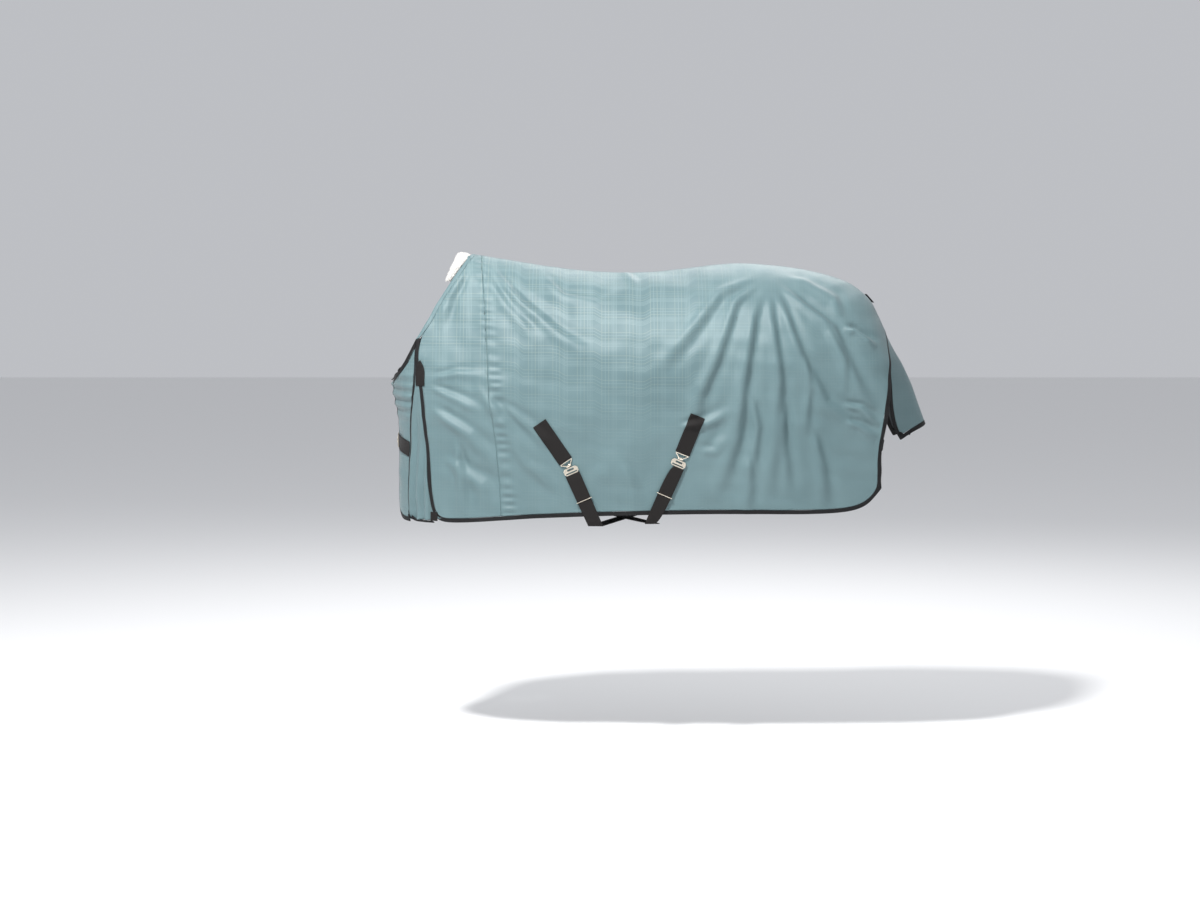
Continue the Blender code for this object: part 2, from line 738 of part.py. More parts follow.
def flap_cloth(dock):
    points = [[tail_flap_point(s, t, dock) for s in FLAP_ROWS] for t in FLAP_COLUMNS]
    step = 0.01
    normals = []
    for t in FLAP_COLUMNS:
        column = []
        for s in FLAP_ROWS:
            sideways = tail_flap_point(s, t + step, dock) - tail_flap_point(s, t - step, dock)
            downward = tail_flap_point(s + step, t, dock) - tail_flap_point(s - step, t, dock)
            column.append(downward.cross(sideways).normalized())
        normals.append(column)
    return Cloth(points, normals)


def add_fleece(trunk, collection, finish):
    """A fleece roll over the withers, just ahead of the neck binding."""
    edge, inner, normals = trunk.points[0], trunk.points[1], trunk.normals[0]
    bm = bmesh.new()
    bmesh.ops.create_uvsphere(bm, u_segments=10, v_segments=16, radius=1.0)
    for vert in bm.verts:
        end = vert.co.z
        bulge = sqrt(max(1 - end * end, 0.0))
        fat = bulge**-0.55 if bulge > 1e-4 else 0.0
        row = min(int(abs(end) * FLEECE_ROWS), FLEECE_ROWS - 1)
        share = abs(end) * FLEECE_ROWS - row
        point = edge[row].lerp(edge[row + 1], share)
        forward = (point - inner[row].lerp(inner[row + 1], share)).normalized()
        normal = normals[row].lerp(normals[row + 1], share).normalized()
        if end > 0:
            point, forward, normal = flipped(point), flipped(forward), flipped(normal)
        ahead = FLEECE_GAP + FLEECE_WIDTH / 2 * (1 + vert.co.x * fat)
        up = SHELL_HIGH / 2 + FLEECE_THICKNESS * (0.5 * vert.co.y * fat - 0.22)
        vert.co = point + forward * ahead + normal * up
    bm.normal_update()
    bmesh.ops.recalc_face_normals(bm, faces=bm.faces)
    mesh = bpy.data.meshes.new("wither_fleece")
    bm.to_mesh(mesh)
    bm.free()
    mesh.shade_smooth()
    return add_object("wither_fleece", mesh, finish, collection)


def build():
    clear_scene()
    rug = bpy.data.collections.new("turnout_rug")
    cutters = bpy.data.collections.new("cutters")
    cutters.hide_render = True
    for collection in (rug, cutters):
        bpy.context.scene.collection.children.link(collection)

    shell_cloth = material("shell_cloth", (0.30, 0.43, 0.44), 0.55)
    lining_cloth = material("lining_cloth", (0.10, 0.13, 0.14), 0.6)
    binding_tape = material("binding_tape", (0.012, 0.012, 0.014), 0.7)
    webbing = material("webbing", (0.022, 0.016, 0.014), 0.75)
    nickel = material("nickel", (0.72, 0.68, 0.62), 0.25, 1.0)
    fleece = material("fleece", (0.86, 0.85, 0.82), 0.95)

    lines = boundaries()
    rows = NECK_ROWS + tuple(NECK_SHARE + (1 - NECK_SHARE) * v for v in CHEST_ROWS)
    shoulder = Cloth.over(
        patch(lines, "withers", "shoulder_hem", "shoulder_front", "shoulder_seam"), SHOULDER_COLUMNS, rows
    )
    body = Cloth.over(patch(lines, "spine", "body_hem", "shoulder_seam", "rear_edge"), BODY_COLUMNS, rows)
    chest = Cloth.over(
        patch(lines, "chest_neckline", "chest_hem", "front_edge", "flap_seam"), CHEST_COLUMNS, CHEST_ROWS
    )
    gusset = Cloth.over(
        patch(lines, "gusset_top", "gusset_hem", "flap_seam", "gusset_rear"),
        GUSSET_COLUMNS,
        CHEST_ROWS[GUSSET_FROM_ROW:],
    )
    trunk = shoulder.joined_to(body).with_margin(TRUNK_BOUND, BINDING_WIDTH)
    chest = chest.with_margin(CHEST_BOUND, BINDING_WIDTH)
    gusset = gusset.with_margin(GUSSET_BOUND, GUSSET_BINDING_WIDTH)
    tree = skin_tree((trunk, chest, gusset))

    finishes = {
        "shell": shell_cloth,
        "lining": lining_cloth,
        "tape": binding_tape,
        "webbing": webbing,
        "metal": nickel,
    }
    pivots = {}
    for side_name, side in SIDES.items():
        add_trunk(side_name, trunk.mirrored(side), rug, finishes)
        add_gusset(side_name, side, gusset.mirrored(side), rug, finishes)
        pivots[side_name] = add_chest_flap(side_name, side, chest.mirrored(side), lines["flap_seam"], rug, finishes)
    add_spine_tape(trunk, rug, finishes)
    add_croup_tape(rug, finishes)
    add_fleece(trunk, rug, fleece)
    add_tail_flap(rug, finishes)
    add_chest_fittings(pivots, rug, cutters, finishes)
    add_surcingles(tree, rug, cutters, finishes)


def add_trunk(side_name, trunk, rug, finishes):
    """The shoulder and body panels with their lining and the bindings round them."""
    inner = trunk.inside(TRUNK_BOUND)
    seam = len(SHOULDER_COLUMNS) - 2
    shoulder, body = inner.part(None, seam + 1, SEAM_GAP), inner.part(seam, None)
    add_sheet(side_name + "_shoulder_panel", shoulder, SHELL_LOW, SHELL_HIGH, finishes["shell"], rug)
    add_sheet(side_name + "_body_panel", body, SHELL_LOW, SHELL_HIGH, finishes["shell"], rug)
    add_sheet(side_name + "_body_lining", inner, 0.0, LINING, finishes["lining"], rug)
    edge = trunk.margin(TRUNK_BOUND, LAYER_GAP)
    neck_end = len(NECK_ROWS)
    neck, rest = edge.part(None, neck_end + 1, SEAM_GAP), edge.part(neck_end, None)
    add_sheet(side_name + "_neck_binding", neck, TRIM_LOW, TRIM_HIGH, finishes["shell"], rug)
    add_sheet(side_name + "_edge_binding", rest, TRIM_LOW, TRIM_HIGH, finishes["tape"], rug)


def add_gusset(side_name, side, gusset, rug, finishes):
    """The pleated gusset behind the chest flap, its binding, the tab over its top and the patch at its foot."""
    panel = gusset.inside(GUSSET_BOUND)
    panel = panel.part(None, len(panel.points), SEAM_GAP)
    add_sheet(side_name + "_gusset_panel", panel, SHELL_LOW, SHELL_HIGH, finishes["shell"], rug)
    edge = gusset.margin(GUSSET_BOUND, LAYER_GAP)
    edge = edge.part(None, len(edge.points), SEAM_GAP)
    add_sheet(side_name + "_gusset_binding", edge, TRIM_LOW, TRIM_HIGH, finishes["tape"], rug)
    tab = [[place_on_skin(TAB_X + half * share, z) for z, half in TAB_OUTLINE] for share in (-1, 0, 1)]
    foot = [[place_on_skin(x, z) for z in GUSSET_PATCH[1]] for x in GUSSET_PATCH[0]]
    for name, places in (("_gusset_tab", tab), ("_gusset_patch", foot)):
        cloth = Cloth(
            [[skin(*place) for place in column] for column in places],
            [[skin_normal(*place) for place in column] for column in places],
        )
        add_sheet(side_name + name, cloth.mirrored(side), PATCH_LIFT, PATCH_LIFT + TAPE, finishes["tape"], rug)


def add_chest_flap(side_name, side, chest, seam, rug, finishes):
    """The chest flap, which swings about a line just outside its seam. Returns its pivot."""
    top, bottom = skin(*seam(0.0)), skin(*seam(1.0))
    outward = skin_normal(*seam(0.5))
    axis = (top - bottom).normalized()
    back = outward.cross(axis)
    if back.x < 0:
        back = -back
    place = top.lerp(bottom, 0.5) + outward * HINGE_OUT + back * HINGE_BACK
    if side > 0:
        place, axis = flipped(place), -flipped(axis)
    pivot = add_pivot(side_name + "_chest_flap_pivot", place, axis, rug)
    panel = chest.inside(CHEST_BOUND)
    panel = panel.part(None, len(panel.points), FLAP_CLEARANCE)
    edge = chest.margin(CHEST_BOUND, LAYER_GAP)
    edge = edge.part(0, len(edge.points), FLAP_CLEARANCE)
    for made in (
        add_sheet(side_name + "_chest_panel", panel, SHELL_LOW, SHELL_HIGH, finishes["shell"], rug),
        add_sheet(side_name + "_chest_lining", panel, 0.0, LINING, finishes["lining"], rug),
        add_sheet(side_name + "_chest_binding", edge, TRIM_LOW, TRIM_HIGH, finishes["tape"], rug),
    ):
        carry(made, pivot)
    return pivot


def add_spine_tape(trunk, rug, finishes):
    """The tape sewn under the spine seam."""
    inner = trunk.inside(TRUNK_BOUND)
    points, normals = [], []
    for column, above in zip(inner.points, inner.normals):
        side = column[0] + (column[1] - column[0]).normalized() * SPINE_TAPE_HALF
        points.append([side, column[0], flipped(column[0]), flipped(side)])
        normals.append([above[0], above[0], flipped(above[0]), flipped(above[0])])
    high = TRIM_LOW - LAYER_GAP
    add_sheet("spine_tape", Cloth(points, normals), high - TAPE, high, finishes["tape"], rug)


def add_croup_tape(rug, finishes):
    """The tape across the spine above the dock."""
    places = [
        [Vector((place_on_skin(x, spine_z(x)).x, share * CROUP_TAPE_HALF)) for share in (-1, -0.5, 0, 0.5, 1)]
        for x in CROUP_TAPE_X
    ]
    cloth = Cloth(
        [[skin(*place) for place in column] for column in places],
        [[skin_normal(*place) for place in column] for column in places],
    )
    add_sheet("croup_tape", cloth, SEWN_LIFT, SEWN_LIFT + TAPE, finishes["tape"], rug)


def add_tail_flap(rug, finishes):
    """The tail flap, which lifts about a line across the dock."""
    dock = place_on_skin(DOCK_X, spine_z(DOCK_X))
    on_spine, outward = skin(dock.x, 0.0), skin_normal(dock.x, 0.0)
    pivot = add_pivot("tail_flap_pivot", on_spine + outward * FLAP_HINGE_OUT, Vector((0.0, -1.0, 0.0)), rug)
    flap = flap_cloth(dock.x).with_margin(FLAP_BOUND, BINDING_WIDTH)
    panel, edge = flap.inside(FLAP_BOUND), flap.margin(FLAP_BOUND, LAYER_GAP)
    for made in (
        add_sheet("tail_flap_panel", panel, SHELL_LOW, SHELL_HIGH, finishes["shell"], rug),
        add_sheet("tail_flap_lining", panel, 0.0, LINING, finishes["lining"], rug),
        add_sheet("tail_flap_binding", edge, TRIM_LOW, TRIM_HIGH, finishes["tape"], rug),
    ):
        carry(made, pivot)


def chest_place(a, z):
    """The (a, b) at this height, this far round from the centre of the chest."""
    return Vector((a, down_to(x_at(a, z), z)))


def add_chest_fittings(pivots, rug, cutters, finishes):
    """The webbing across the chest: a hook on the left flap, a plate on the right one."""
    hook_end = HOOK_LENGTH + WIRE_RADIUS + STRAP_GAP + FRONT_CLEARANCE
    plate_end = PLATE_LENGTH + PLATE_BAR / 2 + STRAP_GAP + FRONT_CLEARANCE
    stations = 7
    for side_name, side, room in (("left", -1, hook_end), ("right", 1, plate_end)):
        end = room * room / abs(skin(*chest_place(room, CHEST_STRAP_Z[1])).y)
        points = [[], [], []]
        for k in range(stations + 1):
            share = k / stations
            a = CHEST_STRAP_START + (end - CHEST_STRAP_START) * share
            z = CHEST_STRAP_Z[0] + (CHEST_STRAP_Z[1] - CHEST_STRAP_Z[0]) * share
            for column, half in zip(points, (-1, 0, 1)):
                place = chest_place(a, z + half * WEBBING_WIDTH / 2)
                point = skin(*place) + skin_normal(*place) * CHEST_STRAP_LIFT
                column.append(point if side < 0 else flipped(point))
        outward = skin_normal(*chest_place(CHEST_STRAP_START, CHEST_STRAP_Z[0]))
        outward = outward if side < 0 else flipped(outward)
        carry(add_ribbon(side_name + "_chest_strap", points, outward, finishes["webbing"], rug), pivots[side_name])
        end_edge = (points[2][-1] - points[0][-1]).normalized()
        run = points[1][-1] - points[1][-2]
        run = (run - end_edge * run.dot(end_edge)).normalized()
        face = facing(run, end_edge, Vector((-1.0, 0.0, 0.0)))
        end_point = points[1][-1]
        if side < 0:
            origin = end_point + run * (WIRE_RADIUS + STRAP_GAP) + face * HOOK_LIFT
            hook = add_hook("chest_hook", frame_at(origin, run, face), finishes["metal"], rug, cutters)
            carry(hook, pivots["left"])
        else:
            origin = end_point + run * (PLATE_BAR / 2 + STRAP_GAP) + face * WEBBING / 2
            carry(add_plate("chest_plate", frame_at(origin, run, face), finishes["metal"], rug), pivots["right"])


def add_surcingles(tree, rug, cutters, finishes):
    """The two crossed surcingles: sewn patch, hook, plate, riser, slide and belly strap, and the far anchors."""
    beside = Vector((0.0, -1.0, 0.0))
    straps = {"front": FRONT_STRAP, "rear": REAR_STRAP}
    anchors, risers = {}, {}
    for name, strap in straps.items():
        risers[name] = ribbon_points(tree, *strap["riser"], HANGING_LIFT, 1, level_end=True)
        anchor = ribbon_points(tree, strap["patch"][0], strap["riser"][1], OVER_BINDING_LIFT, 10, level_end=True)
        for column in anchor:
            column[-1].z = ANCHOR_FOLD_Z
        anchors[name] = flipped_points(anchor)
        add_ribbon("right_" + name + "_anchor_strap", anchors[name], -beside, finishes["webbing"], rug)
    hinge_y = min(column[-1].y for anchor in anchors.values() for column in anchor) - STRAP_GAP

    for name, strap in straps.items():
        patch_points = ribbon_points(tree, *strap["patch"], SEWN_LIFT, 6)
        add_ribbon(name + "_patch", patch_points, beside, finishes["webbing"], rug)
        patch_end, (top, bottom) = patch_points[1][-1], risers[name][1]
        run, up = patch_end - patch_points[1][-2], top - bottom
        hook_face = facing(run, patch_points[2][-1] - patch_points[0][-1], beside)
        riser_face = facing(up, risers[name][2][0] - risers[name][0][0], beside)
        hook_at = patch_end + run.normalized() * (WIRE_RADIUS + STRAP_GAP) + hook_face * HOOK_LIFT
        add_hook(name + "_hook", frame_at(hook_at, run, hook_face), finishes["metal"], rug, cutters)

        crossed_to = anchors["rear" if name == "front" else "front"][1][-1].x
        far = Vector((crossed_to, hinge_y, ANCHOR_FOLD_Z))
        inner = max(column[-1].y for column in risers[name]) + STRAP_GAP
        near = Vector((bottom.x, inner, bottom.z))
        add_belly_strap(name, near, far, rug, finishes)

        pivot = add_pivot(name + "_riser_pivot", near - Vector((0.0, STRAP_GAP, 0.0)), Vector((1.0, 0.0, 0.0)), rug)
        riser = add_ribbon(name + "_riser", risers[name], beside, finishes["webbing"], rug)
        plate_at = top + up.normalized() * (PLATE_BAR / 2 + STRAP_GAP) + riser_face * WEBBING / 2
        plate = add_plate(name + "_plate", frame_at(plate_at, up, riser_face), finishes["metal"], rug)
        slide_at = top.lerp(bottom, SLIDE_SHARE) + riser_face * WEBBING / 2
        slide = add_slide(name + "_slide", frame_at(slide_at, -up, riser_face), finishes["metal"], rug)
        for made in (riser, plate, slide):
            carry(made, pivot)


def facing(run, across, way):
    """The unit vector square to run and across that is nearer to way."""
    face = run.cross(across).normalized()
    return -face if face.dot(way) < 0 else face


def add_belly_strap(name, near, far, rug, finishes):
    """Level webbing under the belly, from the foot of its riser to the far anchor, where it swings."""
    pivot = add_pivot(name + "_belly_pivot", far, Vector((1.0, 0.0, 0.0)), rug)
    half = Vector((WEBBING_WIDTH / 2, 0.0, 0.0))
    points = [[end + half * share for end in (near, far)] for share in (-1, 0, 1)]
    made = add_ribbon(name + "_belly_strap", points, Vector((0.0, 0.0, 1.0)), finishes["webbing"], rug)
    carry(made, pivot)


build()
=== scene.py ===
import json
import math

import bmesh
import bpy
import numpy as np
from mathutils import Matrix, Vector, noise


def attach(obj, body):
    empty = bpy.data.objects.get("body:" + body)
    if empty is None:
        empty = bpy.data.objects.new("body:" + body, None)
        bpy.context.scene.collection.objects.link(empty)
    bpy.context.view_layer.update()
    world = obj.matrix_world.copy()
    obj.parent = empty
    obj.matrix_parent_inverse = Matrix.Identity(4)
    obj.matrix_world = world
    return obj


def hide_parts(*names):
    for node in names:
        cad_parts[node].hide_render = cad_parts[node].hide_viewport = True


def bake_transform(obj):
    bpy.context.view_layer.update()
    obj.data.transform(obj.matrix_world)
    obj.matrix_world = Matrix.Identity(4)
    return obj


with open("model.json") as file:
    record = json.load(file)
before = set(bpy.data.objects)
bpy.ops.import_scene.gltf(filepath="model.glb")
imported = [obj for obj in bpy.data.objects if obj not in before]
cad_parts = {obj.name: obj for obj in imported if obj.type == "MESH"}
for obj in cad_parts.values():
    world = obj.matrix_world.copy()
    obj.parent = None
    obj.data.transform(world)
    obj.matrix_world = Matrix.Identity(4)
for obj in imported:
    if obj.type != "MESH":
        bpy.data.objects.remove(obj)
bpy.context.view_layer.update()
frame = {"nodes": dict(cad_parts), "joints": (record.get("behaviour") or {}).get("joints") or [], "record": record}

scene = bpy.context.scene
nodes = frame["nodes"]
bodyOf = {node: body for body, names in frame["record"]["behaviour"]["bodies"].items() for node in names}


class Value:  # a socket that takes sums
    def __init__(self, tree, socket):
        self.tree, self.socket = tree, socket

    def maths(self, operation, *others, flip=False):
        values = [self, *others]
        if flip:
            values.reverse()
        return self.tree.node("ShaderNodeMath", {"operation": operation}, dict(enumerate(values)))

    def __add__(self, other): return self.maths("ADD", other)
    def __radd__(self, other): return self.maths("ADD", other, flip=True)
    def __sub__(self, other): return self.maths("SUBTRACT", other)
    def __rsub__(self, other): return self.maths("SUBTRACT", other, flip=True)
    def __mul__(self, other): return self.maths("MULTIPLY", other)
    def __rmul__(self, other): return self.maths("MULTIPLY", other, flip=True)
    def __truediv__(self, other): return self.maths("DIVIDE", other)
    def __rtruediv__(self, other): return self.maths("DIVIDE", other, flip=True)


class Tree:
    def __init__(self, name):
        self.material = bpy.data.materials.new(name)
        self.material.use_nodes = True
        self.nodes = self.material.node_tree.nodes
        self.links = self.material.node_tree.links
        self.shader = self.nodes["Principled BSDF"]

    def put(self, socket, value):
        if isinstance(value, Value):
            self.links.new(value.socket, socket)
        else:
            socket.default_value = value

    def node(self, kind, settings=None, inputs=None, output=0):
        made = self.nodes.new(kind)
        for name, value in (settings or {}).items():
            setattr(made, name, value)
        for key, value in (inputs or {}).items():
            self.put(made.inputs[key], value)
        return Value(self, made.outputs[output])

    def mix(self, factor, first, second):
        made = self.nodes.new("ShaderNodeMix")
        made.data_type = "RGBA"
        for key, value in ((0, factor), (6, first), (7, second)):
            self.put(made.inputs[key], (*value, 1.0) if isinstance(value, tuple) and len(value) == 3 else value)
        return Value(self, made.outputs[2])

    def finish(self, **sockets):
        for key, value in sockets.items():
            self.put(self.shader.inputs[key.replace("_", " ")], value)
        return self.material


def clothPlace(tree):  # across and down the cloth, in metres
    uv = tree.node("ShaderNodeUVMap", {"uv_map": "clothPlace"})
    return [tree.node("ShaderNodeSeparateXYZ", None, {0: uv}, output=k) for k in (0, 1)]


clothGrain = {
    "broadScale": 3.2, "broadDetail": 3.0, "fineScale": 420.0, "fineDetail": 2.0, "fineShade": 0.5,
    "crinkleScale": 38.0, "crinkleDetail": 4.0, "crinkleRoughness": 0.6, "bumpDistance": 0.001,
    "broadRoughness": 0.12, "weaveRoughness": 0.06, "sheenRoughness": 0.45,
}


def clothMaterial(name, look):
    look = {**clothGrain, **look}
    tree = Tree(name)
    across, down = clothPlace(tree)
    place = tree.node("ShaderNodeTexCoord", output=3)
    broad = tree.node("ShaderNodeTexNoise", None, {
        "Vector": place, "Scale": look["broadScale"], "Detail": look["broadDetail"],
    })
    fine = tree.node("ShaderNodeTexNoise", None, {
        "Vector": place, "Scale": look["fineScale"], "Detail": look["fineDetail"],
    })
    colour = tree.mix(broad, look["dark"], look["light"])
    colour = tree.mix((fine - 0.5) * look["fineShade"], colour, look["light"])
    if look.get("check"):
        colour = addCheck(tree, colour, across, down, look["check"])
    yarn = look["yarn"]
    warp = (across * (math.tau / yarn)).maths("SINE")
    weft = (down * (math.tau / yarn)).maths("SINE")
    weave = warp * weft * 0.5 + 0.5
    colour = tree.mix(weave * look["yarnShade"], colour, look["dark"])
    crinkle = tree.node("ShaderNodeTexNoise", None, {
        "Vector": place, "Scale": look["crinkleScale"], "Detail": look["crinkleDetail"],
        "Roughness": look["crinkleRoughness"],
    })
    height = weave * look["yarnHeight"] + crinkle * look["crinkle"]
    bump = tree.node("ShaderNodeBump", None, {
        "Strength": look["bump"], "Distance": look["bumpDistance"], "Height": height,
    })
    rough = look["roughness"] + (broad - 0.5) * look["broadRoughness"] + (weave - 0.5) * look["weaveRoughness"]
    return tree.finish(
        Base_Color=colour, Roughness=rough, Normal=bump, Sheen_Weight=look["sheen"],
        Sheen_Roughness=look["sheenRoughness"], Specular_IOR_Level=look["specular"],
    )


def addCheck(tree, colour, across, down, check):  # fine woven lines that fade low down and towards the tail
    size, width = check["repeat"], check["width"]

    def lines(value, offsets):
        total = None
        for offset in offsets:
            wrapped = ((value / size + offset + check["shift"]).maths("FRACT") - 0.5).maths("ABSOLUTE")
            line = 1.0 - (wrapped / (width / size)).maths("MINIMUM", 1.0)
            total = line if total is None else total.maths("MAXIMUM", line)
        return total

    def past(value, start, loss):
        way = (value - start) / check["fadeOver"]
        return 1.0 - way.maths("MAXIMUM", 0.0).maths("MINIMUM", 1.0) * loss

    fade = past(across, check["fadeAlong"], check["lossAlong"]) * past(down, check["fadeFrom"], check["lossDown"])
    for shade in ("pale", "warm"):
        both = lines(across, check[shade]).maths("MAXIMUM", lines(down, check[shade]))
        colour = tree.mix(both * fade * check["strength"], colour, check[shade + "Colour"])
    return colour


webbingGrain = {
    "fuzzScale": 160.0, "fuzzDetail": 3.0, "ribPart": 0.7, "chainPart": 0.5, "fuzzShade": 0.6, "weaveShade": 0.25,
    "weaveHeight": 0.8, "fuzzHeight": 0.3, "bump": 0.5, "bumpDistance": 0.0008, "fuzzRoughness": 0.2,
    "sheen": 0.04, "sheenRoughness": 0.5, "specular": 0.25,
}


def webbingMaterial(name, look):
    look = {**webbingGrain, **look}
    tree = Tree(name)
    across, along = clothPlace(tree)
    place = tree.node("ShaderNodeTexCoord", output=3)
    fuzz = tree.node("ShaderNodeTexNoise", None, {
        "Vector": place, "Scale": look["fuzzScale"], "Detail": look["fuzzDetail"],
    })
    rib = (along * (math.tau / look["rib"])).maths("SINE") * 0.5 + 0.5
    chain = (across * (math.tau / look["chain"])).maths("SINE") * 0.5 + 0.5
    weave = rib * look["ribPart"] + chain * look["chainPart"]
    colour = tree.mix(fuzz * look["fuzzShade"] + weave * look["weaveShade"], look["dark"], look["light"])
    height = weave * look["weaveHeight"] + fuzz * look["fuzzHeight"]
    bump = tree.node("ShaderNodeBump", None, {
        "Strength": look["bump"], "Distance": look["bumpDistance"], "Height": height,
    })
    return tree.finish(
        Base_Color=colour, Roughness=look["roughness"] + (fuzz - 0.5) * look["fuzzRoughness"], Normal=bump,
        Sheen_Weight=look["sheen"], Sheen_Roughness=look["sheenRoughness"], Specular_IOR_Level=look["specular"],
    )


metalGrain = {
    "stainScale": 90.0, "stainDetail": 4.0, "scratchScale": 900.0, "scratchDetail": 2.0,
    "bump": 0.08, "bumpDistance": 0.0005, "stainRoughness": 0.2,
}


def metalMaterial(name, look):
    look = {**metalGrain, **look}
    tree = Tree(name)
    place = tree.node("ShaderNodeTexCoord", output=3)
    stain = tree.node("ShaderNodeTexNoise", None, {
        "Vector": place, "Scale": look["stainScale"], "Detail": look["stainDetail"],
    })
    scratch = tree.node("ShaderNodeTexNoise", None, {
        "Vector": place, "Scale": look["scratchScale"], "Detail": look["scratchDetail"],
    })
    colour = tree.mix(stain, look["dark"], look["light"])
    bump = tree.node("ShaderNodeBump", None, {
        "Strength": look["bump"], "Distance": look["bumpDistance"], "Height": scratch,
    })
    return tree.finish(
        Base_Color=colour, Roughness=look["roughness"] + (stain - 0.5) * look["stainRoughness"], Metallic=1.0,
        Normal=bump,
    )


shell = {
    "dark": (0.078, 0.138, 0.150), "light": (0.150, 0.232, 0.246), "yarn": 0.0011, "yarnShade": 0.15,
    "yarnHeight": 0.35, "crinkle": 0.55, "bump": 0.35, "roughness": 0.47, "sheen": 0.08, "specular": 0.45,
    "check": {
        "repeat": 0.081, "width": 0.0011, "strength": 0.30, "fadeFrom": 0.36, "fadeAlong": 0.55, "fadeOver": 0.40,
        "lossAlong": 0.75, "lossDown": 0.85, "shift": 50.0,
        "pale": (0.06, 0.12, 0.18, 0.24, 0.52), "warm": (0.38, 0.66),
        "paleColour": (0.46, 0.58, 0.57), "warmColour": (0.52, 0.55, 0.42),
    },
}
shellCloth = clothMaterial("shellCloth", shell)
gussetCloth = clothMaterial("gussetCloth", {**shell, "check": None})
liningCloth = clothMaterial("liningCloth", {
    "dark": (0.030, 0.036, 0.040), "light": (0.060, 0.068, 0.074), "yarn": 0.0009, "yarnShade": 0.3,
    "yarnHeight": 0.3, "crinkle": 0.5, "bump": 0.3, "roughness": 0.5, "sheen": 0.15, "specular": 0.4,
})
bindingTape = webbingMaterial("bindingTape", {
    "dark": (0.003, 0.003, 0.0035), "light": (0.010, 0.010, 0.011), "rib": 0.0016, "chain": 0.0024, "roughness": 0.68,
})
webbing = webbingMaterial("webbing", {
    "dark": (0.0035, 0.003, 0.003), "light": (0.014, 0.011, 0.010), "rib": 0.0021, "chain": 0.0045, "roughness": 0.72,
})
nickel = metalMaterial("nickel", {"dark": (0.62, 0.54, 0.42), "light": (0.88, 0.82, 0.72), "roughness": 0.24})
thread = webbingMaterial("thread", {
    "dark": (0.10, 0.17, 0.18), "light": (0.30, 0.42, 0.43), "rib": 0.0008, "chain": 0.0008, "roughness": 0.6,
})
darkThread = webbingMaterial("darkThread", {
    "dark": (0.012, 0.012, 0.013), "light": (0.05, 0.05, 0.05), "rib": 0.0008, "chain": 0.0008, "roughness": 0.6,
})


def fleeceMaterial():
    tree = Tree("fleeceWool")
    place = tree.node("ShaderNodeTexCoord", output=3)
    tufts = tree.node("ShaderNodeTexVoronoi", None, {"Vector": place, "Scale": 320.0})
    fibres = tree.node("ShaderNodeTexNoise", None, {"Vector": place, "Scale": 900.0, "Detail": 3.0})
    # the tuft part of the colour is painted shade: lightest at each tuft's middle, darker in the hollows between tufts
    # where the bump is lowest; the fibre part is random tone
    colour = tree.mix(tufts * 0.9 + fibres * 0.3, (0.70, 0.69, 0.66), (0.44, 0.42, 0.39))
    height = fibres * 0.6 - tufts
    bump = tree.node("ShaderNodeBump", None, {"Strength": 0.7, "Distance": 0.0015, "Height": height})
    return tree.finish(
        Base_Color=colour, Roughness=0.86 + (fibres - 0.5) * 0.1, Normal=bump, Sheen_Weight=0.5, Sheen_Roughness=0.6,
    )


fleeceWool = fleeceMaterial()
print("materials made")


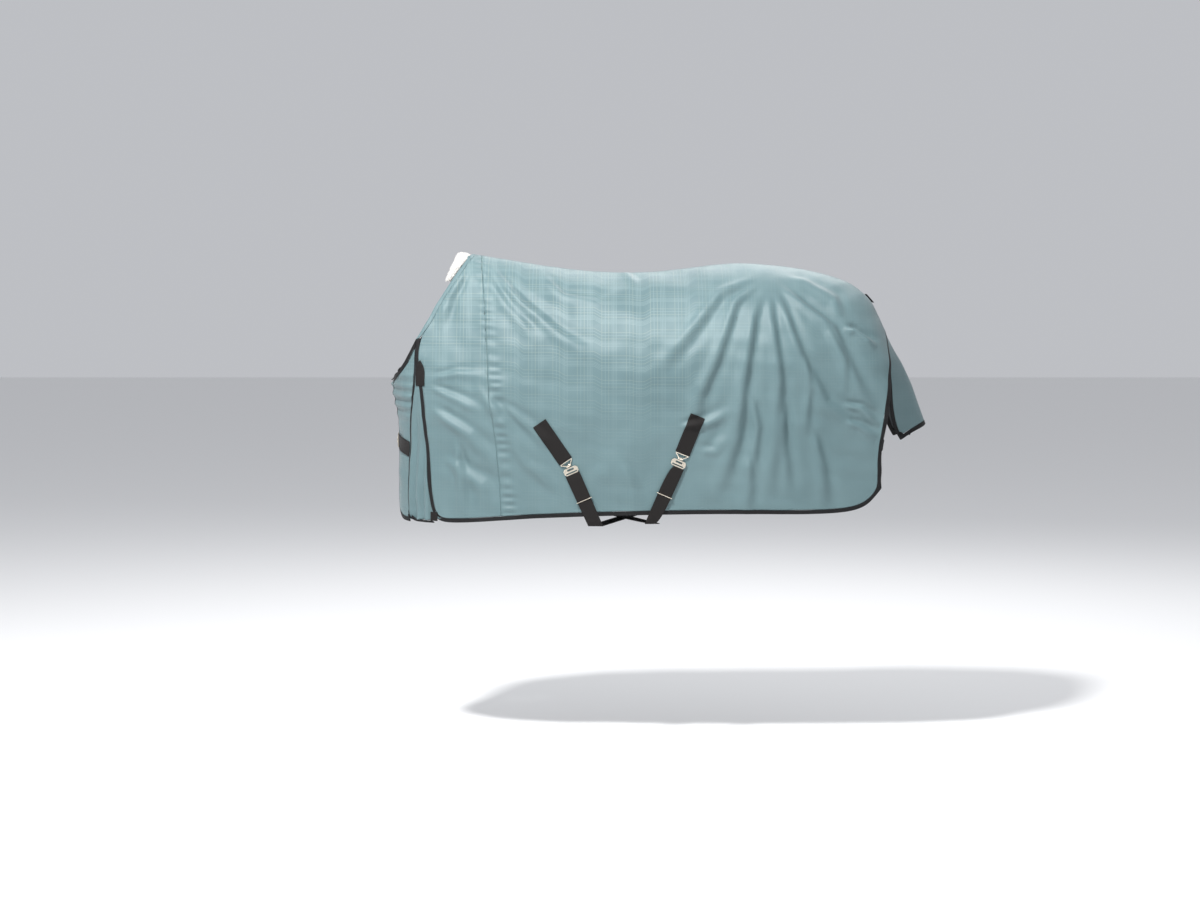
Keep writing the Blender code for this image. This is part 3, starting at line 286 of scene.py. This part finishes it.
leftFolds = [  # each ridge: its line in (x, z), half width and height; a hollow runs beside it
    ([(0.000, -0.010), (0.119, -0.150), (0.262, -0.268), (0.400, -0.350)], 0.020, 0.0085),
    ([(-0.010, -0.040), (0.070, -0.160), (0.190, -0.290)], 0.018, 0.0055),
    ([(0.190, -0.054), (0.262, -0.126), (0.380, -0.150), (0.476, -0.102)], 0.014, 0.0050),
    ([(0.464, -0.040), (0.510, -0.095)], 0.012, 0.0040),
    ([(-0.040, -0.400), (0.095, -0.590), (0.238, -0.744), (0.309, -0.810)], 0.024, 0.0095),
    ([(-0.142, -0.661), (-0.012, -0.756), (0.036, -0.840)], 0.022, 0.0080),
    ([(0.072, -0.590), (0.143, -0.685), (0.286, -0.780), (0.357, -0.744), (0.430, -0.670)], 0.022, 0.0085),
    ([(0.040, -0.470), (0.150, -0.560), (0.235, -0.650)], 0.018, 0.0055),
    ([(0.920, -0.060), (0.785, -0.114), (0.690, -0.233), (0.570, -0.370)], 0.018, 0.0085),
    ([(0.930, -0.070), (0.833, -0.150), (0.773, -0.316), (0.714, -0.447), (0.678, -0.590)], 0.017, 0.0095),
    ([(0.935, -0.090), (0.892, -0.197), (0.856, -0.399), (0.832, -0.590), (0.761, -0.810)], 0.020, 0.0120),
    ([(0.945, -0.090), (0.951, -0.190), (0.975, -0.399), (0.963, -0.637), (0.930, -0.810)], 0.020, 0.0115),
    ([(0.955, -0.090), (0.987, -0.150), (1.047, -0.328), (1.130, -0.483), (1.240, -0.580)], 0.019, 0.0105),
    ([(0.960, -0.080), (1.011, -0.114), (1.154, -0.233), (1.237, -0.423), (1.300, -0.530)], 0.018, 0.0095),
    ([(1.000, -0.060), (1.070, -0.078), (1.166, -0.138), (1.190, -0.233)], 0.016, 0.0060),
    ([(1.195, -0.232), (1.235, -0.245), (1.310, -0.300)], 0.011, 0.0130),
    ([(1.185, -0.485), (1.250, -0.500), (1.320, -0.560)], 0.012, 0.0070),
    ([(1.195, -0.540), (1.250, -0.560), (1.310, -0.600)], 0.012, 0.0060),
    ([(1.000, -0.450), (0.993, -0.560), (1.005, -0.800)], 0.016, 0.0085),
    ([(1.090, -0.560), (1.120, -0.700), (1.130, -0.850)], 0.020, 0.0065),
    ([(-0.060, -0.030), (-0.120, -0.130), (-0.160, -0.240)], 0.014, 0.0050),
    ([(-0.190, -0.405), (-0.090, -0.385), (0.010, -0.390)], 0.013, 0.0050),
    ([(-0.190, -0.430), (-0.090, -0.470), (0.000, -0.520)], 0.014, 0.0060),
    ([(-0.190, -0.494), (-0.047, -0.590), (0.045, -0.700)], 0.018, 0.0075),
    ([(0.640, -0.560), (0.740, -0.545), (0.830, -0.500)], 0.015, 0.0075),
    ([(0.690, -0.640), (0.770, -0.640), (0.820, -0.560)], 0.016, 0.0060),
    ([(0.880, -0.420), (0.905, -0.560), (0.880, -0.740)], 0.015, 0.0070),
    ([(1.060, -0.300), (1.075, -0.440), (1.060, -0.600)], 0.013, 0.0055),
    ([(1.120, -0.200), (1.190, -0.340), (1.200, -0.460)], 0.012, 0.0055),
    ([(0.870, -0.640), (0.880, -0.760), (0.860, -0.860)], 0.018, 0.0060),
    ([(0.450, -0.660), (0.500, -0.760), (0.520, -0.860)], 0.022, 0.0055),
    ([(-0.100, -0.600), (-0.080, -0.730), (-0.070, -0.870)], 0.016, 0.0065),
]
rightFolds = [
    ([(x * 0.98 + 0.012, z - 0.010) for x, z in line], width * 1.1, height * 0.9)
    for k, (line, width, height) in enumerate(leftFolds) if k % 4 != 1
]
strapZones = [[(0.272, -0.660), (0.372, -0.900)], [(0.659, -0.650), (0.559, -0.900)]]


def polyDistance(x, z, line):  # distance with a sign for the side, and how far along from 0 to 1
    best, side, along = np.full(len(x), 1e9), np.ones(len(x)), np.zeros(len(x))
    steps = np.hypot(*np.diff(np.array(line), axis=0).T)
    done = 0.0
    for (x0, z0), (x1, z1), step in zip(line, line[1:], steps):
        t = np.clip(((x - x0) * (x1 - x0) + (z - z0) * (z1 - z0)) / step**2, 0, 1)
        d = np.hypot(x - x0 - t * (x1 - x0), z - z0 - t * (z1 - z0))
        nearer = d < best
        along = np.where(nearer, (done + t * step) / steps.sum(), along)
        side = np.where(nearer, np.sign((x1 - x0) * (z - z0) - (z1 - z0) * (x - x0)), side)
        best = np.minimum(best, d)
        done += step
    return best, side, along


hangLook = {
    "sideBlend": 0.012, "narrowest": 0.010, "startTaper": 0.22, "endTaper": 0.3,
    "hollow": 0.65, "hollowPlace": 1.55, "hollowWidth": 0.95, "most": 0.019, "gain": 1.35,
    "hemFrom": 0.72, "hemOver": 0.15, "hemHeight": 0.0060, "hemWave": 0.17,
    "broadHeight": 0.0030, "broadWave": 0.22, "smallHeight": 0.0014, "smallWave": 0.075,
    "pucker": 0.0024, "puckerWidth": 0.020, "puckerStep": 0.034,
    "strapFolds": 0.06, "strapReach": 0.045, "strapFade": 0.06,
    "dockX": 1.356, "dockZ": -0.25, "dockReach": 0.09,
}


def waves(x, z, seed, size):  # smooth ripples between about -1 and 1
    rng = np.random.default_rng(seed)
    total = np.zeros(len(x))
    for _ in range(9):
        angle, phase = rng.uniform(0, math.pi), rng.uniform(0, math.tau)
        k = math.tau / (size * rng.uniform(0.7, 1.5))
        total += np.sin(k * (x * math.cos(angle) + z * math.sin(angle)) + phase)
    return total / 4.5


def hang(points):  # how far out the cloth stands from its plain shape
    look = hangLook
    x, y, z = points.T
    out = np.zeros(len(x))
    for side, folds in ((-1, leftFolds), (1, rightFolds)):
        near = 1 / (1 + np.exp(-side * y / look["sideBlend"]))
        for line, width, height in folds:
            distance, flank, t = polyDistance(x, z, line)
            spread = np.maximum(width * (0.6 + 0.8 * t), look["narrowest"])
            ends = np.clip(t / look["startTaper"], 0, 1) ** 1.5 * np.clip((1 - t) / look["endTaper"], 0, 1)
            place = distance * flank / spread
            beside = (place - look["hollowPlace"]) / look["hollowWidth"]
            out += near * height * (np.exp(-place**2) - look["hollow"] * np.exp(-(beside**2))) * ends
    out = look["most"] * np.tanh(look["gain"] * out / look["most"])
    low = np.clip((-z - look["hemFrom"]) / look["hemOver"], 0, 1)
    out += low**2 * look["hemHeight"] * waves(x + 2.0 * (y > 0), z * 0.25, 11, look["hemWave"])
    out += look["broadHeight"] * waves(x + 0.7 * y, z, 5, look["broadWave"])
    out += look["smallHeight"] * waves(x - 0.5 * y, z, 8, look["smallWave"])
    seamX = -0.018 + 0.06 * np.clip(-z / 0.45, 0, 1) + 0.045 * np.clip((-z - 0.45) / 0.4, 0, 1)
    nearSeam = np.exp(-(((x - seamX) / look["puckerWidth"]) ** 2))
    out += look["pucker"] * nearSeam * np.sin(z * math.tau / look["puckerStep"] + 2 * np.sin(z * 31))
    calm = np.ones(len(x))
    for line in strapZones:
        away = np.clip((polyDistance(x, z, line)[0] - look["strapReach"]) / look["strapFade"], 0, 1)
        calm = np.minimum(calm, look["strapFolds"] + (1 - look["strapFolds"]) * away)
    atDock = np.clip(np.hypot(x - look["dockX"], z - look["dockZ"]) / look["dockReach"], 0.15, 1)
    return out * calm * np.clip((np.abs(y) + 0.02) / 0.07, 0.3, 1) * atDock


def outward(p):
    middle = Vector((min(max(p.x, 0.0), 1.15), 0.0, min(max(p.z, -0.9), -0.35)))
    return (p - middle).normalized()


def facing(*way):
    return lambda p: Vector(way)


sheetLook = {"weld": 5e-5, "facing": 0.35, "backRadius": 0.35, "roundedFrom": 50}


def openSheet(node, fineness, way):  # a plain panel's outer face, as four-sided cells made finer
    bm = bmesh.new()
    bm.from_mesh(nodes[node].data)
    bmesh.ops.remove_doubles(bm, verts=bm.verts, dist=sheetLook["weld"])
    hidden = [f for f in bm.faces if f.normal.dot(way(f.calc_center_median())) < sheetLook["facing"]]
    bmesh.ops.delete(bm, geom=hidden, context="FACES")

    def longest(face):
        return max(face.edges, key=lambda k: k.calc_length())

    slanted = [e for e in bm.edges if len(e.link_faces) == 2 and all(longest(f) == e for f in e.link_faces)]
    bmesh.ops.dissolve_edges(bm, edges=slanted, use_verts=False)
    mesh = bpy.data.meshes.new(node + "Sheet")
    bm.to_mesh(mesh)
    bm.free()
    return finer(mesh, fineness)


def finer(mesh, fineness):
    made = bpy.data.objects.new(mesh.name, mesh)
    scene.collection.objects.link(made)
    smooth = made.modifiers.new("Finer", "SUBSURF")
    smooth.levels = smooth.render_levels = fineness
    smooth.boundary_smooth = "PRESERVE_CORNERS"
    return settle(made)


def settle(made):
    bpy.context.view_layer.update()
    fixed = bpy.data.meshes.new_from_object(made.evaluated_get(bpy.context.evaluated_depsgraph_get()))
    made.modifiers.clear()
    made.data = fixed
    return made


def rowsOf(mesh, what):
    flat = np.zeros(len(mesh.vertices) * 3)
    mesh.vertices.foreach_get(what, flat)
    return flat.reshape(-1, 3)


def moveTo(mesh, points):
    mesh.vertices.foreach_set("co", points.ravel())
    mesh.update()


backPoints = rowsOf(nodes["left_body_lining"].data, "co")
backAt = np.linspace(-0.06, 1.34, 60)
backHigh = np.array([backPoints[np.abs(backPoints[:, 0] - at) < 0.13, 2].max() for at in backAt])


def addClothPlace(mesh, strip=False):  # metres across and down the cloth, or across and along a strip
    points = rowsOf(mesh, "co")
    if strip:
        spread = points - points.mean(axis=0)
        ways = np.linalg.svd(spread, full_matrices=False)[2]
        place = np.stack([spread @ ways[1], spread @ ways[0]], axis=1)
    else:
        depth = np.maximum(np.interp(points[:, 0], backAt, backHigh) - points[:, 2], 0)
        radius = sheetLook["backRadius"]
        bent = radius * np.arccos(np.clip(1 - depth / radius, 0, 1)) + np.maximum(depth - radius, 0)
        along = points[:, 0] + np.where(points[:, 0] < -0.2, 0.6 * np.abs(points[:, 1]), 0)
        place = np.stack([along, bent], axis=1)
    uv = mesh.uv_layers.new(name="clothPlace")
    loops = np.zeros(len(mesh.loops), dtype=int)
    mesh.loops.foreach_get("vertex_index", loops)
    uv.data.foreach_set("uv", place[loops].ravel())


def thickSheet(made, thickness, rimOnly, rounded):
    solid = made.modifiers.new("Thickness", "SOLIDIFY")
    solid.thickness, solid.offset, solid.use_rim_only = thickness, -1.0, rimOnly
    if rounded:
        bevel = made.modifiers.new("Rounded", "BEVEL")
        bevel.width, bevel.segments, bevel.limit_method = rounded, 2, "ANGLE"
        bevel.angle_limit = math.radians(sheetLook["roundedFrom"])
    return settle(made)


def dress(made, finish, name, strip=False):
    made.name = made.data.name = name
    made.data.materials.clear()
    made.data.materials.append(finish)
    made.data.polygons.foreach_set("use_smooth", [True] * len(made.data.polygons))
    if finish.node_tree.nodes.get("UV Map"):
        addClothPlace(made.data, strip)


def edgeLines(made, inset, keep):  # rows of points just inside an open sheet's edges
    bm = bmesh.new()
    bm.from_mesh(made.data)
    bm.normal_update()
    waiting = {e for e in bm.edges if e.is_boundary}
    parts = []
    while waiting:
        edge = waiting.pop()
        row = [edge.verts[0], edge.verts[1]]
        for _ in range(2):  # on from one end, then from the other
            while step := next((e for e in row[-1].link_edges if e in waiting), None):
                waiting.discard(step)
                row.append(step.other_vert(row[-1]))
            row.reverse()
        part = []
        for vert in row:
            inner = [e.other_vert(vert).co - vert.co for e in vert.link_edges if not e.is_boundary]
            if not inner:
                continue
            point = vert.co + sum(inner, Vector()).normalized() * inset + vert.normal * threadLift
            if keep(point):
                part.append(point)
            else:
                parts.append(part)
                part = []
        parts.append(part)
    bm.free()
    return [part for part in parts if len(part) > 1]


def stitchTree():
    tree = bpy.data.node_groups.new("stitches", "GeometryNodeTree")
    face = tree.interface
    face.new_socket("Geometry", in_out="INPUT", socket_type="NodeSocketGeometry")
    named = {
        name: face.new_socket(name, in_out="INPUT", socket_type=kind)
        for name, kind in (
            ("Spacing", "NodeSocketFloat"), ("Stitch length", "NodeSocketFloat"), ("Thread radius", "NodeSocketFloat"),
            ("Unevenness", "NodeSocketFloat"), ("Thread", "NodeSocketMaterial"),
        )
    }
    face.new_socket("Geometry", in_out="OUTPUT", socket_type="NodeSocketGeometry")

    def node(kind, settings=None, **inputs):
        made = tree.nodes.new(kind)
        for key, value in (settings or {}).items():
            setattr(made, key, value)
        for key, value in inputs.items():
            socket = made.inputs[key.replace("_", " ")]
            if isinstance(value, bpy.types.NodeSocket):
                tree.links.new(value, socket)
            else:
                socket.default_value = value
        return made

    given = tree.nodes.new("NodeGroupInput").outputs
    curve = node("GeometryNodeMeshToCurve", Mesh=given["Geometry"])
    even = node("GeometryNodeResampleCurve", {"mode": "LENGTH"}, Curve=curve.outputs[0], Length=given["Spacing"])
    tangent = node("GeometryNodeInputTangent")
    turn = node("FunctionNodeAlignRotationToVector", {"axis": "Z"}, Vector=tangent.outputs[0])
    ball = node("GeometryNodeMeshUVSphere", Segments=6, Rings=4, Radius=0.5)
    wide = node("ShaderNodeMath", {"operation": "MULTIPLY"}, Value=given["Thread radius"])
    wide.inputs[1].default_value = 2.0
    size = node("ShaderNodeCombineXYZ", X=wide.outputs[0], Y=wide.outputs[0], Z=given["Stitch length"])
    change = node("FunctionNodeRandomValue", {"data_type": "FLOAT"}, Seed=7)
    for socket, operation in ((change.inputs[2], "SUBTRACT"), (change.inputs[3], "ADD")):
        limit = node("ShaderNodeMath", {"operation": operation})
        limit.inputs[0].default_value = 1.0
        tree.links.new(given["Unevenness"], limit.inputs[1])
        tree.links.new(limit.outputs[0], socket)
    vary = node("ShaderNodeVectorMath", {"operation": "SCALE"})
    tree.links.new(size.outputs[0], vary.inputs[0])
    tree.links.new(change.outputs[1], vary.inputs[3])
    put = node(
        "GeometryNodeInstanceOnPoints", Points=even.outputs[0], Instance=ball.outputs[0], Rotation=turn.outputs[0],
        Scale=vary.outputs[0],
    )
    real = node("GeometryNodeRealizeInstances", Geometry=put.outputs[0])
    paint = node("GeometryNodeSetMaterial", Geometry=real.outputs[0], Material=given["Thread"])
    done = tree.nodes.new("NodeGroupOutput")
    tree.links.new(paint.outputs[0], done.inputs[0])
    return tree, {name: socket.identifier for name, socket in named.items()}


stitching, stitchInputs = stitchTree()
stitchLook = {"Spacing": 0.0044, "Stitch length": 0.0031, "Thread radius": 0.00035, "Unevenness": 0.12}
threadLift = 0.0002


def addStitches(name, lines, body, finish):
    mesh = bpy.data.meshes.new(name)
    points, edges = [], []
    for line in lines:
        edges += [(len(points) + k, len(points) + k + 1) for k in range(len(line) - 1)]
        points += [tuple(p) for p in line]
    mesh.from_pydata(points, edges, [])
    made = bpy.data.objects.new(name, mesh)
    scene.collection.objects.link(made)
    rows = made.modifiers.new("Stitches", "NODES")
    rows.node_group = stitching
    for key, value in {**stitchLook, "Thread": finish}.items():
        rows[stitchInputs[key]] = value
    settle(made)
    made.data.name = name
    follow(made, body)


def bendAt(joint, start, end):  # two points set off from a joint's hinge; nothing here bends the cloth between them
    hinge = Vector(next(j["pos_m"] for j in frame["joints"] if j["name"] == joint))
    return hinge + Vector(start), hinge + Vector(end)


bends = {
    "tail_flap": bendAt("tail_flap_lift", (0, 0, 0.004), (0.022, 0, -0.045)),
    "left_chest_flap": bendAt("left_chest_flap_open", (0, 0, 0), (-0.016, 0.036, 0)),
    "right_chest_flap": bendAt("right_chest_flap_open", (0, 0, 0), (-0.016, -0.036, 0)),
}


def follow(made, body):
    if body in bends:
        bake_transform(made)
    else:
        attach(made, body)


def clothPiece(node, name, finish, cloth, extra=None, way=outward, strip=False, stitch=None):
    made = openSheet(node, cloth["fineness"], way)
    points = rowsOf(made.data, "co")
    out = hang(points) * cloth.get("follow", 1.0) + cloth.get("lift", 0.0)
    if extra:
        out = out + extra(points)
    moveTo(made.data, points + rowsOf(made.data, "normal") * out[:, None])
    lines = edgeLines(made, stitch["inset"], stitch.get("keep", lambda p: True)) if stitch else []
    made = thickSheet(made, cloth["thickness"], cloth.get("rimOnly", False), cloth.get("rounded", 0.0))
    dress(made, finish, name, strip)
    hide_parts(node)
    body = bodyOf[node]
    follow(made, body)
    if lines:
        addStitches(name + "Stitches", lines, body, stitch["thread"])


pleatLook = {"from": 0.42, "over": 0.40, "height": 0.006, "step": 0.030, "lean": 1.2, "setBack": 0.002}
creaseLook = {"place": 0.47, "reach": 0.07, "height": 0.0034, "step": 0.036, "lean": 9}
underLook = {"gap": 0.0012, "part": 0.45}


def gussetPleats(points):
    x, y, z = points.T
    deep = np.clip((-z - pleatLook["from"]) / pleatLook["over"], 0, 1)
    seam = -0.255 - 0.02 * np.clip((-z - 0.5) / 0.4, 0, 1)
    pleats = np.sin((x - seam) * math.tau / pleatLook["step"] + pleatLook["lean"] * z)
    return deep * pleatLook["height"] * pleats - pleatLook["setBack"] * deep


def chestCreases(points):
    x, y, z = points.T
    near = np.exp(-((z + creaseLook["place"]) / creaseLook["reach"]) ** 2)
    return creaseLook["height"] * near * np.sin(z * math.tau / creaseLook["step"] + creaseLook["lean"] * np.abs(y))


def underFolds(points):  # the lining keeps behind the folds
    return -underLook["gap"] - underLook["part"] * np.abs(hang(points))


outerCloth = {"fineness": 4, "thickness": 0.0014, "rimOnly": True}
innerCloth = {"fineness": 3, "thickness": 0.0006, "rimOnly": True}
flapLining = {**innerCloth, "lift": -0.001}
tapeCloth = {"fineness": 3, "thickness": 0.0036, "rounded": 0.0009}
thinTape = {"fineness": 3, "thickness": 0.0010, "rounded": 0.0003}
strapCloth = {"fineness": 3, "thickness": 0.0024, "rounded": 0.0007}
looseStrap = {**strapCloth, "follow": 0.0}
anchorStrap = {**strapCloth, "follow": 0.3}
seamStitch = {"inset": 0.0032, "thread": thread}
tapeStitch = {"inset": 0.0030, "thread": darkThread}
strapStitch = {"inset": 0.0040, "thread": darkThread}
slideReach = (-0.856, -0.730)
riserStitch = {**strapStitch, "keep": lambda p: not slideReach[0] < p.z < slideReach[1]}  # clear of the slide's travel

for side in ("left", "right"):
    for part, name, finish, cut, extra in (
        ("_body_panel", "BodyCloth", shellCloth, "body", None),
        ("_shoulder_panel", "ShoulderCloth", shellCloth, "shoulder", None),
        ("_gusset_panel", "GussetCloth", gussetCloth, "gusset", gussetPleats),
        ("_chest_panel", "ChestCloth", shellCloth, "chest", chestCreases),
    ):
        clothPiece(side + part, side + name, finish, outerCloth, extra=extra, stitch=seamStitch)
clothPiece("tail_flap_panel", "tailFlapCloth", shellCloth, outerCloth, stitch=seamStitch)
print("panels made")

for side in ("left", "right"):
    for part, name, cut, cloth, extra in (
        ("_body_lining", "BodyLining", "bodyLining", innerCloth, underFolds),
        ("_chest_lining", "ChestLining", "chestLining", flapLining, chestCreases),
    ):
        clothPiece(side + part, side + name, liningCloth, cloth, extra=extra)
clothPiece("tail_flap_lining", "tailFlapLining", liningCloth, flapLining)
print("linings made")

for side in ("left", "right"):
    for part, name, finish, slot, cut, cloth, stitch in (
        ("_edge_binding", "EdgeBinding", bindingTape, "tape", "edgeBinding", tapeCloth, tapeStitch),
        ("_neck_binding", "NeckFacing", gussetCloth, "shell", "neckFacing", tapeCloth, seamStitch),
        ("_gusset_binding", "GussetBinding", bindingTape, "tape", "gussetBinding", tapeCloth, None),
        ("_chest_binding", "ChestBinding", bindingTape, "tape", "chestBinding", tapeCloth, None),
        ("_gusset_tab", "GussetTab", webbing, "tape", "gussetTab", thinTape, strapStitch),
        ("_gusset_patch", "GussetPatch", webbing, "tape", "gussetPatch", thinTape, strapStitch),
        ("_chest_strap", "ChestStrap", webbing, "webbing", "chestStrap", strapCloth, strapStitch),
    ):
        clothPiece(
            side + part, side + name, finish, cloth,
            extra=chestCreases if "chest" in part else None, strip=finish == webbing, stitch=stitch,
        )
for node, name, finish, cloth, stitch in (
    ("croup_tape", "croupTape", bindingTape, thinTape, tapeStitch),
    ("spine_tape", "spineTape", gussetCloth, thinTape, None),
    ("tail_flap_binding", "tailFlapBinding", bindingTape, tapeCloth, tapeStitch),
):
    clothPiece(node, name, finish, cloth, stitch=stitch)
print("trims made")

for part in ("front", "rear"):
    for node, name, cut, cloth, way, stitch in (
        (part + "_patch", part + "StrapPatch", "patch", strapCloth, (0, -1, 0), strapStitch),
        (part + "_riser", part + "Riser", "riser", looseStrap, (0, -1, 0), riserStitch),
        (part + "_belly_strap", part + "BellyStrap", "bellyStrap", looseStrap, (0, 0, -1), strapStitch),
        (f"right_{part}_anchor_strap", f"right{part.title()}Anchor", "anchor", anchorStrap, (0, 1, 0), strapStitch),
    ):
        clothPiece(node, name, webbing, cloth, way=facing(*way), strip=True, stitch=stitch)
print("straps made")

fleeceLook = {
    "fineness": 4, "tuft": 0.0026, "tuftSize": 0.0065, "tuftMiddle": 0.45, "tuftGain": 1.6,
    "fibreSize": 0.0022, "fibreGain": 0.5,
}


def addFleece():
    bm = bmesh.new()
    bm.from_mesh(nodes["wither_fleece"].data)
    bmesh.ops.remove_doubles(bm, verts=bm.verts, dist=sheetLook["weld"])
    bmesh.ops.join_triangles(bm, faces=bm.faces, angle_face_threshold=0.6, angle_shape_threshold=0.9)
    mesh = bpy.data.meshes.new("witherFleece")
    bm.to_mesh(mesh)
    bm.free()
    made = finer(mesh, fleeceLook["fineness"])
    points, ways = rowsOf(made.data, "co"), rowsOf(made.data, "normal")
    heights = []
    for point in points:
        near = noise.voronoi(Vector(point) / fleeceLook["tuftSize"])[0]
        fibre = noise.noise(Vector(point) / fleeceLook["fibreSize"])
        heights.append((fleeceLook["tuftMiddle"] - near[0]) * fleeceLook["tuftGain"] + fleeceLook["fibreGain"] * fibre)
    moveTo(made.data, points + ways * (np.array(heights)[:, None] * fleeceLook["tuft"]))
    dress(made, fleeceWool, "witherFleece")
    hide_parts("wither_fleece")
    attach(made, "rug")


addFleece()
print("fleece made")

stageLook = {
    "floorHeight": -1.63, "floorSize": 60, "room": (0.93, 0.95, 1.0, 1.0), "roomLight": 0.55,
    "aim": (0.5, 0.0, -0.45), "cameraPlace": (0.386, -9.33, -0.026), "cameraTilt": 86.14, "lens": 81.8, "sensor": 36,
    "lights": {  # place, size and power
        "key": ((-1.4, -3.2, 3.9), 0.6, 470), "fill": ((3.2, -4.6, 0.8), 3.5, 30), "back": ((1.5, 4.0, 3.2), 3.0, 110),
    },
}


def addFloor():
    bpy.ops.mesh.primitive_plane_add(size=stageLook["floorSize"], location=(0.4, 0, stageLook["floorHeight"]))
    floor = bpy.context.object
    floor.name = "floor"
    floor.data.materials.append(Tree("paleFloor").finish(Base_Color=(0.86, 0.86, 0.86, 1.0), Roughness=0.9))


def addLight(name, place, size, power):
    data = bpy.data.lights.new(name, "AREA")
    data.shape, data.size, data.energy = "DISK", size, power
    lamp = bpy.data.objects.new(name, data)
    lamp.location = place
    lamp.rotation_euler = (Vector(stageLook["aim"]) - Vector(place)).to_track_quat("-Z", "Y").to_euler()
    scene.collection.objects.link(lamp)


def addRoom():
    world = bpy.data.worlds.new("paleRoom")
    world.use_nodes = True
    light = world.node_tree.nodes["Background"].inputs
    light[0].default_value, light[1].default_value = stageLook["room"], stageLook["roomLight"]
    scene.world = world
    scene.view_settings.view_transform = "Standard"


def addCamera():
    camera = bpy.data.objects.new("camera", bpy.data.cameras.new("camera"))
    camera.location = stageLook["cameraPlace"]
    camera.rotation_euler = (math.radians(stageLook["cameraTilt"]), 0, 0)
    camera.data.lens, camera.data.sensor_width = stageLook["lens"], stageLook["sensor"]
    scene.collection.objects.link(camera)
    scene.camera = camera


addFloor()
for name, settings in stageLook["lights"].items():
    addLight(name, *settings)
addRoom()
addCamera()

for name in nodes:
    if name.endswith(("_hook", "_plate", "_slide")):
        for slot in nodes[name].material_slots:
            slot.material = nickel
print("metal, floor, light and camera placed")
